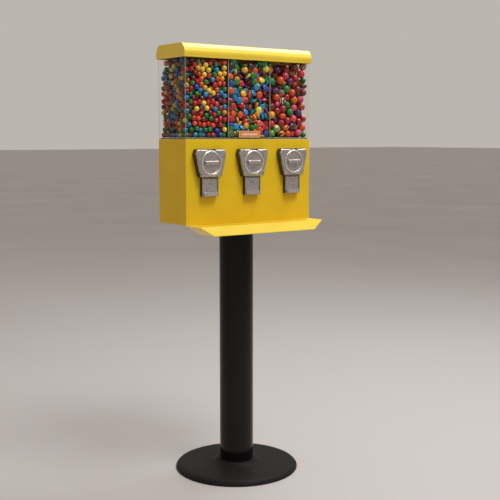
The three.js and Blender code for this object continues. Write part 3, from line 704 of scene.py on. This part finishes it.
def housing(x):
    """A cast shield with bevelled edges, a round seat for the handle and a coin slot at the top."""
    outline = [tuple(p) for p in rounded(SHIELD, 4)]
    corners = [math.atan2(v - MECH_Z, u) for u, v in outline]
    even = [2 * math.pi * n / 96 - math.pi for n in range(96)]
    angles = sorted(corners + [a for a in even if all(abs(a - c) > 0.012 for c in corners)])
    edge = [reach(outline, a) for a in angles]

    def ring(y, radii):
        return [Vector((x + r * math.cos(a), y, MECH_Z + r * math.sin(a))) for r, a in zip(radii, angles)]

    def inset(depth):
        return [max(r - depth, SEAT + 0.8 * MM) for r in edge]

    def round_ring(y, radius):
        return ring(y, [radius] * len(angles))

    front = HOUSING_FRONT
    seat_floor, web_back = front + 6.5 * MM, front + 9.6 * MM
    shaft_hole, pocket = 5 * MM, 29.2 * MM
    rings = [
        ring(HOUSING_BACK, edge),
        ring(HOUSING_BACK - 5 * MM, inset(0.3 * MM)),
        ring(front + 4 * MM, inset(1.2 * MM)),
        ring(front + 2.2 * MM, inset(1.8 * MM)),
        ring(front + 0.7 * MM, inset(3.6 * MM)),
        ring(front, inset(4.8 * MM)),
        round_ring(front, SEAT + 0.4 * MM),
        round_ring(front + 0.4 * MM, SEAT),
        round_ring(seat_floor, SEAT),
        round_ring(seat_floor, shaft_hole),
        round_ring(web_back, shaft_hole),
        round_ring(web_back, pocket),
        round_ring(HOUSING_BACK, pocket),
    ]
    shell = bmesh.new()
    skin(shell, rings, ring_closes=True)
    above = MECH_Z + 36 * MM
    slot = rectangle(13.5 * MM, MECH_Z + 20 * MM, above, 0)
    mouth = rectangle(12.6 * MM, MECH_Z + 29.2 * MM, above, 0.8 * MM)
    slot = prism(slot, "y", (front + 10.4 * MM, front + 13.6 * MM), (x, 0))
    mouth = prism(mouth, "y", (front - 1 * MM, front + 13 * MM), (x, 0))
    # the shield's side, top and bottom faces get painted shade
    return paint_side_shade(carved(shell, slot, mouth), x)


def handle_disc(x):
    """The turning face: a flat disc inside a bright rim, on a shaft with a nut at its far end."""
    back, far = HOUSING_FRONT + 6.2 * MM, HANDLES[0][1].y
    radius, shaft, rim_inside = 30 * MM, 4.5 * MM, 26 * MM
    profile = [
        (0, far, 0),
        (shaft - 0.9 * MM, far, 0),
        (shaft, far - 0.8 * MM, 0),
        (shaft, back, 0.3 * MM),
        (radius, back, 0.5 * MM),
        (radius, back - 6.2 * MM, 0.9 * MM),
        (radius - 1.1 * MM, back - 7 * MM, 0.9 * MM),
        (rim_inside + 1 * MM, back - 7 * MM, 0.8 * MM),
        (rim_inside + 0.2 * MM, back - 6 * MM, 0.8 * MM),
        (rim_inside, back - 4.4 * MM, 0.9 * MM),
        (0, back - 4.2 * MM, 0),
    ]
    disc = turned([(max(p[0], 0), p[1]) for p in rounded(profile, 4)], "y", (x, MECH_Z), 96)
    nut = prism(circle(7 * MM, 6), "y", (far - 4 * MM, far - 0.6 * MM), (x, MECH_Z))
    soften(nut, 0.4 * MM, angle=40)
    near, front = rim_inside + 0.4 * MM, back - 4.5 * MM
    mark_faces(disc, lambda _, m: math.hypot(m.x - x, m.z - MECH_Z) > near and m.y < front)
    mark_faces(nut, lambda *_: True, 2)
    return merged(disc, nut)


def merged(first, *others):
    """Puts loose pieces in one bmesh."""
    for other in others:
        mesh = bpy.data.meshes.new("part")
        other.to_mesh(mesh)
        other.free()
        first.from_mesh(mesh)
        bpy.data.meshes.remove(mesh)
    return first


def grip(x):
    """The finger bar across the handle, tapering forward, with two small ribs under it."""
    base = HOUSING_FRONT + 2.4 * MM
    steps = [(0, 20.5, 6), (1.4, 20.1, 5.6), (4.4, 19.8, 5.2), (6, 19.2, 4.5), (6.9, 18.2, 3.5),
             (7.4, 16.6, 2.2)]
    rings = []
    for out, half, rise in steps:
        outline = rectangle(half * MM, -rise * MM, rise * MM, min(rise * 0.9, 3.0) * MM)
        rings.append(across(outline, "y", (x, MECH_Z), base - out * MM))
    bar = bmesh.new()
    skin(bar, rings)
    outlines = [rectangle(0.9 * MM, -19 * MM, -11 * MM, 0.8 * MM, u) for u in (-3.2 * MM, 3.2 * MM)]
    return merged(bar, *ribs(outlines, (base, base - 1.1 * MM), (x, MECH_Z), 0.3 * MM))


def ribs(outlines, span, centre, edge):
    """Small raised ribs with round edges on a face that looks along Y."""
    made = [prism(outline, "y", span, centre) for outline in outlines]
    for rib in made:
        soften(rib, edge, angle=50)
    return made


def mounting_nuts(x):
    """Two studs through the panel, each with a washer and a nut."""
    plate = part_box("mech_back_plate_1")[1].y - 8.7 * MM
    washer_back = plate + 0.8 * MM
    start, end = HOUSING_BACK - 3 * MM, plate + 4.7 * MM
    rod = [(0, start), (3 * MM, start), (3 * MM, end - 0.8 * MM), (2.3 * MM, end), (0, end)]
    bore, rim = 3.2 * MM, 6 * MM
    ring = [(bore, plate, 0), (rim, plate, 0.3 * MM), (rim, washer_back, 0.3 * MM), (bore, washer_back, 0)]
    parts = []
    for side in (-1, 1):
        centre = (x + side * 27 * MM, MECH_Z - 29 * MM)
        stud = turned(rod, "y", centre, 32)
        washer = turned(rounded(ring, 2), "y", centre, 40)
        nut = prism(circle(5.2 * MM, 6), "y", (washer_back, plate + 3.6 * MM), centre)
        soften(nut, 0.4 * MM, angle=40)
        parts += [stud, washer, nut]
    return merged(*parts)


def flap(x):
    """A hinged flap: a plate with a rolled top, three ribs and a thick lip with round corners."""
    low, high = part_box("chute_flap_1")
    pin = (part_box("flap_pin_1")[0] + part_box("flap_pin_1")[1]) / 2
    half = (high.x - low.x) / 2
    thick = 1.3 * MM

    def tongue(width, top, top_corner):
        foot = [(-width, low.z, 5 * MM), (width, low.z, 5 * MM)]
        return rounded(foot + [(width, top, top_corner), (-width, top, top_corner)], 6)

    plate = prism(tongue(half, pin.z, 0.4 * MM), "y", (pin.y - thick, pin.y + thick), (x, 0))
    soften(plate, 0.35 * MM, angle=50)
    bore, roll = 1.35 * MM, 2.4 * MM
    left, right = x - half, x + half
    sleeve = [(bore, left, 0), (roll, left, 0.3 * MM), (roll, right, 0.3 * MM), (bore, right, 0)]
    knuckle = turned(rounded(sleeve, 2), "x", (pin.y, pin.z), 40)
    outline = tongue(half - 0.7 * MM, high.z - 33.6 * MM, 1 * MM)
    slope = 1.6 / 10.5
    centre = low.z + 5 * MM

    def layer(y, narrower, flatter, tilt):
        return [Vector((x + u * narrower, y + tilt * (v - low.z), centre + (v - centre) * flatter))
                for u, v in outline]

    lip = bmesh.new()
    skin(lip, [layer(pin.y, 1, 1, 0), layer(low.y + 0.9 * MM, 1, 1, slope),
               layer(low.y + 0.3 * MM, 0.988, 0.952, slope), layer(low.y, 0.96, 0.84, slope)])
    under, top = pin.z - 13 * MM, pin.z - 5 * MM
    outlines = [rectangle(0.8 * MM, under, top, 0.7 * MM, u) for u in (-4 * MM, 0, 4 * MM)]
    raised = ribs(outlines, (pin.y - 2 * MM, pin.y - 1 * MM), (x, 0), 0.25 * MM)
    return merged(plate, knuckle, lip, *raised)


def spout_frame(node, x):
    """The bezel round a chute's mouth, with rounder edges at its front and top."""
    low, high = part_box(node)
    near = 0.6 * MM
    shell = tidy_copy(node)

    def front_or_top(e):
        return middle(e).y < low.y + near or middle(e).z > high.z - near

    soften(shell, 0.45 * MM, 4, where=front_or_top)
    soften(shell, 0.3 * MM)
    # the bezel's side, top and bottom faces get painted shade
    return paint_side_shade(shell, x)


def build_vends():
    """The three vend stations, in front of the panel and behind it."""
    for number, x in enumerate(VEND_X, 1):
        drive = f"coin_drive_{number}"
        node = f"coin_mech_housing_{number}"
        finished(f"mech_shield_{number}", housing(x), (ZINC, SHADED_ZINC), ROOT, (node,), 24)
        finished(f"mounting_nuts_{number}", mounting_nuts(x), PLATE, ROOT)
        node = f"coin_handle_{number}"
        finished(f"handle_disc_{number}", handle_disc(x), (ZINC, BRIGHT, PLATE), drive, (node,))
        finished(f"handle_grip_{number}", grip(x), ZINC, drive)
        node = f"chute_bezel_{number}"
        finished(f"spout_frame_{number}", spout_frame(node, x), (ZINC, SHADED_ZINC), ROOT, (node,))
        node = f"chute_flap_{number}"
        finished(f"spout_flap_{number}", flap(x), ZINC, f"flap_{number}", (node,))
        for material, nodes in ((PLATE, ("coin_carrier", "mech_back_plate", "flap_pin")),
                                (WHITE, ("drive_gear", "candy_wheel")), (GREY, ("wheel_pan", "candy_chute"))):
            for node in nodes:
                carried(f"{node}_{number}", material)


# ---------- canister and dividers ----------
def build_canister():
    """Four clear walls and two clear dividers, milky at corners and cut edges."""
    high = CANISTER[1]
    near = 0.1 * MM

    def outer_corner(e):
        m = middle(e)
        return along(e, 2) and abs(m.x) > high.x - near and abs(m.y) > high.y - near

    walls = tidy_copy("clear_canister")
    soften(walls, 1.6 * MM, 4, where=outer_corner)
    soften(walls, 0.3 * MM, 2, 50)

    def milky(_, m):
        corner = high.x - abs(m.x) < 1.3 * MM and high.y - abs(m.y) < 1.3 * MM
        return corner or m.z > high.z - 0.4 * MM

    mark_faces(walls, milky)
    finished("canister_walls", walls, (CLEAR, EDGE), ROOT, ("clear_canister",))
    for side in ("left", "right"):
        sheet = tidy_copy(f"divider_{side}")
        soften(sheet, 0.3 * MM)
        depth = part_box(f"divider_{side}")[1].y
        mark_faces(sheet, lambda _, m: abs(m.y) > depth - 0.4 * MM)
        node = f"divider_{side}"
        finished(f"divider_sheet_{side}", sheet, (CLEAR, EDGE), ROOT, (node,))
    carried("hopper_plate", GREY)


# ---------- candy ----------
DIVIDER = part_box("divider_right")
CANDY_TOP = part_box("candy_fill_1")[1].z
BRIDGE_HALF = (69 * MM, 23 * MM)
UNDER_BRIDGE, UNDER_LID = 12.5 * MM, 3 * MM
SETTLE_STEPS = 170
RED, DEEP_RED, ORANGE, GOLD, LEMON = (srgb(c) for c in ("bb0f18", "74101a", "e0500c", "eba80e", "ecd048"))
GREEN, SKY, BLUE, PLUM, CRIMSON = (srgb(c) for c in ("178132", "1a8cc8", "1846a6", "541c5e", "a60a32"))
MAROON, PINK, CREAM, LIME = (srgb(c) for c in ("420c18", "d8527a", "ead9b4", "62a424"))


def near_pairs(points, distance):
    """Index pairs of points closer than a distance, found on a grid of cells."""
    cell = np.floor((points - points.min(0)) / distance).astype(np.int64) + 1
    size = cell.max(0) + 2
    key = (cell[:, 0] * size[1] + cell[:, 1]) * size[2] + cell[:, 2]
    order = np.argsort(key, kind="stable")
    ranked = key[order]
    most = np.unique(ranked, return_counts=True)[1].max()
    every = np.arange(len(points))
    found = []
    for a, b, c in (offset for offset in itertools.product((-1, 0, 1), repeat=3) if offset >= (0, 0, 0)):
        other = key + (a * size[1] + b) * size[2] + c
        start, end = (np.searchsorted(ranked, other, side) for side in ("left", "right"))
        for n in range(most):
            hit = start + n < end
            i, j = every[hit], order[start[hit] + n]
            if (a, b, c) == (0, 0, 0):
                i, j = i[i < j], j[i < j]
            close = ((points[i] - points[j]) ** 2).sum(1) < distance ** 2
            found.append((i[close], j[close]))
    return np.concatenate([i for i, _ in found]), np.concatenate([j for _, j in found])


def nearest_turns(matrices):
    """The rotation closest to each 3 by 3 matrix."""
    u, _, v = np.linalg.svd(matrices)
    u[:, :, 2] *= np.linalg.det(u @ v)[:, None]
    return u @ v


def settled(low, high, offsets, radii, rng, steps):
    """Drops candies, each a cluster of small balls, into a bin. Returns their centres and turns.

    Overlaps are pushed apart bit by bit, and the lower ball of a pair gives way less, so the heap holds.
    Nothing falls in the last quarter of the steps, so what still overlaps is pushed clear."""
    count, balls = radii.shape
    radius = radii.reshape(-1)
    candy = np.repeat(np.arange(count), balls)
    centres = rng.uniform(low, high, (count, 3))
    turns = nearest_turns(rng.normal(size=(count, 3, 3)))
    r = radius[:, None]
    for step in range(steps):
        p = (centres[:, None] + np.einsum("nij,nkj->nki", turns, offsets)).reshape(-1, 3)
        if step < 0.75 * steps:
            p[:, 2] -= 80 * MM / steps
        i, j = near_pairs(p, 2 * radius.max() + 1 * MM)
        apart = candy[i] != candy[j]
        i, j = i[apart], j[apart]
        for _ in range(4 if balls == 1 else 3):
            d = p[i] - p[j]
            distance = np.sqrt((d * d).sum(1)) + 1e-12
            over = radius[i] + radius[j] - distance
            hit = over > 0
            a, b, d, share = i[hit], j[hit], d[hit], (over[hit] / distance[hit])[:, None]
            lift = 0.42 * d[:, 2:] / distance[hit, None]
            met = np.bincount(a, minlength=len(p)) + np.bincount(b, minlength=len(p))
            up, down = d * share * (0.5 + lift), d * share * (0.5 - lift)
            for axis in range(3):
                move = np.bincount(a, up[:, axis], len(p)) - np.bincount(b, down[:, axis], len(p))
                p[:, axis] += move * 1.5 / np.maximum(met, 1.5)
            p = np.maximum(p, low + r)
            p[:, :2] = np.minimum(p[:, :2], (high - r)[:, :2])
        group = p.reshape(count, balls, 3)
        centres = group.mean(1)
        if balls > 1:
            turns = nearest_turns(np.einsum("nki,nkj->nij", group - centres[:, None], offsets) + 1e-9 * turns)
    return centres, turns


def unit_ball(cells):
    """A unit ball of quads, cells by cells on each of a cube's six sides, as points and faces."""
    bm = bmesh.new()
    bmesh.ops.create_cube(bm, size=2)
    bmesh.ops.subdivide_edges(bm, edges=bm.edges, cuts=cells - 1, use_grid_fill=True)
    points = np.array([v.co for v in bm.verts])
    points = np.tan(points * math.pi / 4)
    points /= np.linalg.norm(points, axis=1)[:, None]
    faces = np.array([[v.index for v in f.verts] for f in bm.faces])
    bm.free()
    return points, faces


def heap(name, centres, turns, sizes, colours, cells, material, slot, replaces):
    """One mesh of many candies: each a ball stretched to its size, with its colours on its points."""
    points, faces = unit_ball(cells)
    count, size = len(centres), len(points)
    local = points[None] * sizes[:, None]
    world = centres[:, None] + np.einsum("nij,nkj->nki", turns, local)
    quads = faces[None] + (np.arange(count) * size)[:, None, None]
    mesh = bpy.data.meshes.new(name)
    mesh.from_pydata(world.reshape(-1, 3).tolist(), [], quads.reshape(-1, 4).tolist())

    def store(key, kind, field, values):
        layer = mesh.attributes.new(key, kind, "POINT")
        layer.data.foreach_set(field, values.astype(np.float32).ravel())

    for key in ("tint", "second_tint"):
        opaque = np.ones((count * size, 1))
        store(key, "FLOAT_COLOR", "color", np.concatenate([np.repeat(colours[key], size, 0), opaque], 1))
    store("spin", "FLOAT_VECTOR", "vector", np.tile(points, (count, 1)))
    store("pattern", "FLOAT", "value", np.repeat(colours["pattern"], size))
    mesh.materials.append(material)
    mesh.shade_smooth()
    piece = added(name, mesh)
    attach(piece, ROOT)
    if replaces:
        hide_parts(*replaces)


def picked(rng, palette, count):
    """One colour of a palette of (colour, weight) for each candy, each a little lighter or darker."""
    colours, weights = (np.array(each, float) for each in zip(*palette))
    chosen = rng.choice(len(palette), count, p=weights / weights.sum())
    return colours[chosen] * rng.uniform(0.86, 1.08, (count, 1))


def fill_bin(number, shapes, fullness, palette, second, marked, material, slot, seed):
    """Fills a compartment. Shapes are (share of the candies, half sizes, balls that stand for one candy)."""
    rng = np.random.default_rng(seed)
    low, high = (np.array(corner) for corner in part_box(f"candy_fill_{number}"))
    high[2] = DIVIDER[1].z + 60 * MM
    room = (high[0] - low[0]) * (high[1] - low[1]) * (CANDY_TOP - low[2])
    shares, halves, clusters = (np.array(each) for each in zip(*shapes))
    volumes = 4 / 3 * math.pi * halves.prod(1)
    count = int(room * fullness / (shares * volumes).sum())
    kinds = rng.choice(len(shapes), count, p=shares / shares.sum())
    scale = rng.uniform(0.97, 1.03, count)
    sizes = halves[kinds] * scale[:, None]
    offsets = clusters[kinds, :, :3] * scale[:, None, None]
    radii = clusters[kinds, :, 3] * scale[:, None]
    steps = SETTLE_STEPS
    centres, turns = settled(low, high, offsets, radii, rng, steps)
    top = centres[:, 2] + np.sqrt((turns[:, 2] ** 2 * sizes ** 2).sum(1))
    inwards = np.abs(centres[:, :2]) - sizes.max(1)[:, None]
    headroom = np.where((inwards < BRIDGE_HALF).all(1), UNDER_BRIDGE, UNDER_LID)
    fits = top < DIVIDER[1].z - headroom
    centres, turns, sizes = centres[fits], turns[fits], sizes[fits]
    if radii.shape[1] == 1:
        turns = nearest_turns(rng.normal(size=(len(centres), 3, 3)))
    kept = len(centres)
    widest = sizes.max()
    wall = np.minimum(centres[:, :2] - low[:2], high[:2] - centres[:, :2]).min(1)
    # painted shade darkens each candy's colours deep in the heap and near the left wall
    shade = painted_shadows(centres, wall, widest)
    colours = {
        "tint": (picked(rng, palette, kept) * shade) ** 1.08,
        "second_tint": picked(rng, second, kept) * shade,
        "pattern": rng.choice(3, kept, p=marked),
    }
    hidden = (wall > 3.4 * widest) & (centres[:, 2] < CANDY_TOP - 4 * widest)
    upper = centres[:, 2] > (low[2] + CANDY_TOP) / 2
    fine, coarse = 4, 2
    layers = (("lower", ~hidden & ~upper, fine), ("upper", ~hidden & upper, fine), ("inner", hidden, coarse))
    for part, chosen, cells in layers:
        shapes_here = centres[chosen], turns[chosen], sizes[chosen]
        some = {key: values[chosen] for key, values in colours.items()}
        replaces = (f"candy_fill_{number}",) if part == "lower" else ()
        heap(f"{slot}_{part}", *shapes_here, some, cells, material, slot, replaces)


def painted_shadows(centres, wall, widest):
    """Painted shade: how much of its colour each candy keeps, less deep in the heap where light is blocked,
    and close to the left wall, which gets less light.
    """
    deep = np.minimum(wall, centres[:, 2].max() + 0.3 * widest - centres[:, 2])
    shade = np.clip(1 - 0.55 * (deep - 1.3 * widest) / widest, 0.2, 1)[:, None]
    # painted shade: the side by the left wall gets less light
    shade[centres[:, 0] < CANISTER[0].x + 4.2 * widest] *= 0.66
    return shade


def build_candy():
    """Small balls on the left, buttons in the middle, and large balls and eggs on the right."""
    plain = (1, 0, 0)
    ball = 6.8 * MM
    balls = [(1.0, (ball, ball, ball), [(0, 0, 0, ball)])]
    palette = [(RED, 4.2), (DEEP_RED, 1.4), (ORANGE, 2.2), (GOLD, 1), (LEMON, 1.5), (GREEN, 4), (SKY, 2),
               (BLUE, 0.8), (PLUM, 0.7)]
    fill_bin(1, balls, 0.585, palette, [(CREAM, 1)], plain, SHELL, "candy_balls", 11)

    disc, thick, rim_ball = 9.0 * MM, 3.75 * MM, 2.9 * MM
    ring = [(u, v, 0, rim_ball) for u, v in circle(6.1 * MM, 6)]
    buttons = [(1.0, (disc, disc, thick), [(0, 0, 0, thick), *ring])]
    palette = [(SKY, 3.6), (GREEN, 3), (GOLD, 1), (LEMON, 1), (ORANGE, 2.4), (CRIMSON, 1.8), (RED, 1.6),
               (MAROON, 1.6), (BLUE, 0.7)]
    fill_bin(2, buttons, 0.60, palette, [(CREAM, 1)], plain, SHELL, "candy_buttons", 12)

    big, egg, egg_long = 10.2 * MM, 7.8 * MM, 11.2 * MM
    ends = [(0, 0, side * (egg_long - egg), egg * 0.94) for side in (1, -1)]
    large = [
        (0.68, (big, big, big), [(0, 0, 0, big)] * 3),
        (0.32, (egg, egg, egg_long), [(0, 0, 0, egg), *ends]),
    ]
    palette = [(RED, 4), (DEEP_RED, 2.6), (CRIMSON, 1.4), (GREEN, 3), (LIME, 1.2), (ORANGE, 2), (GOLD, 0.8),
               (PLUM, 1.8), (PINK, 0.6)]
    stripes = [(CREAM, 1.5), (GOLD, 1.5), (DEEP_RED, 2), (PINK, 1)]
    fill_bin(3, large, 0.575, palette, stripes, (0.68, 0.12, 0.2), SWIRL, "candy_large", 13)


def build_card():
    """A plain card on the front of the middle bin: a pale band inside a yellow border."""
    half, rise, border = 33 * MM, 8 * MM, (1.6 * MM, 1.2 * MM)
    centre_x, centre_z = -2 * MM, CANISTER[0].z + 12 * MM
    look = Look("card_print")
    x, _, z = look.node("ShaderNodeSeparateXYZ", {"Vector": look.place}).outputs
    across = look.sum("ABSOLUTE", look.sum("SUBTRACT", x, centre_x))
    up = look.sum("ABSOLUTE", look.sum("SUBTRACT", z, centre_z))
    wide, tall = look.sum("LESS_THAN", across, 25 * MM), look.sum("LESS_THAN", up, 2.6 * MM)
    in_band = look.sum("MULTIPLY", wide, tall)
    at_side = look.sum("GREATER_THAN", across, half - border[0])
    at_top = look.sum("GREATER_THAN", up, rise - border[1])
    fade = look.noise(12 * MM, 5, 0.6)
    tone = look.mix(look.between(fade, 0.3, 0.7), (0.72, 0.17, 0.07), (0.80, 0.24, 0.10))
    band = look.sum("MULTIPLY", in_band, look.between(fade, 0.3, 0.7, 0.6, 0.9))
    tone = look.mix(band, tone, (0.86, 0.66, 0.48))
    tone = look.mix(look.sum("MAXIMUM", at_side, at_top), tone, (0.80, 0.60, 0.16))
    print_look = look.finish(base_color=tone, roughness=look.between(fade, 0.3, 0.7, 0.3, 0.45))
    outline = rectangle(half, centre_z - rise, centre_z + rise, 1.5 * MM, centre_x)
    card = prism(outline, "y", (CANISTER[0].y - 0.25 * MM, CANISTER[0].y - 0.02 * MM))
    finished("plain_card", card, print_look)


# ---------- stage ----------
def area_light(name, place, target, size, power, colour):
    """A soft rectangular light that faces a target, its power in watts."""
    data = bpy.data.lights.new(name, "AREA")
    data.shape, data.size, data.size_y = "RECTANGLE", size[0], size[1]
    data.energy, data.color = power, colour
    light = added(name, data)
    light.location = place
    light.rotation_mode = "QUATERNION"
    light.rotation_quaternion = (Vector(target) - Vector(place)).to_track_quat("-Z", "Y")


def build_floor():
    """A pale floor, far wider than any view of it."""
    look = Look("pale_floor")
    cloud = look.noise(0.9, 4)
    tone = look.mix(look.between(cloud, 0.3, 0.7), (0.50, 0.48, 0.485), (0.485, 0.465, 0.47))
    far = 60.0
    mesh = bpy.data.meshes.new("floor")
    mesh.from_pydata([(-far, -far, 0), (far, -far, 0), (far, far, 0), (-far, far, 0)], [], [(0, 1, 2, 3)])
    mesh.materials.append(look.finish(base_color=tone, roughness=look.between(cloud, 0.3, 0.7, 0.45, 0.6)))
    floor = added("floor", mesh)


def build_light():
    """A pale room that is warmer on the left, a key light in front and a wide light overhead."""
    room = Look("soft_room", world=True)
    sideways = room.node("ShaderNodeSeparateXYZ", {"Vector": room.place}).outputs["X"]
    tone = room.mix(room.between(sideways, -0.8, 0.1), (0.52, 0.41, 0.31), (0.50, 0.465, 0.43))
    bpy.context.scene.world = room.shown(room.node("ShaderNodeBackground", {"Color": tone}))
    bpy.context.scene.view_settings.view_transform = "Standard"

    area_light("key", (0.35, -1.45, 3.2), (0, -0.05, 0.9), (1.1, 0.9), 50, (1, 1, 0.95))
    area_light("overhead", (1.55, 0.2, 3.05), (0, 0, 1.0), (1.8, 1.5), 56, (1, 1, 0.97))


def build_camera():
    """The camera, in front and to the left, a little below the middle of the head."""
    yaw, pitch = math.radians(36.18), math.radians(6.80)
    data = bpy.data.cameras.new("camera")
    data.lens, data.sensor_width = 68.15, 36
    camera = added("camera", data)
    camera.location = (-1.4269, -2.0124, 0.8787)
    camera.rotation_euler = (math.pi / 2 - pitch, 0, -yaw)
    bpy.context.scene.camera = camera


build_floor()
build_light()
build_camera()
build_stand()
build_cabinet()
build_tray()
build_lid()
build_drawer()
build_vends()
build_canister()
build_candy()
build_card()
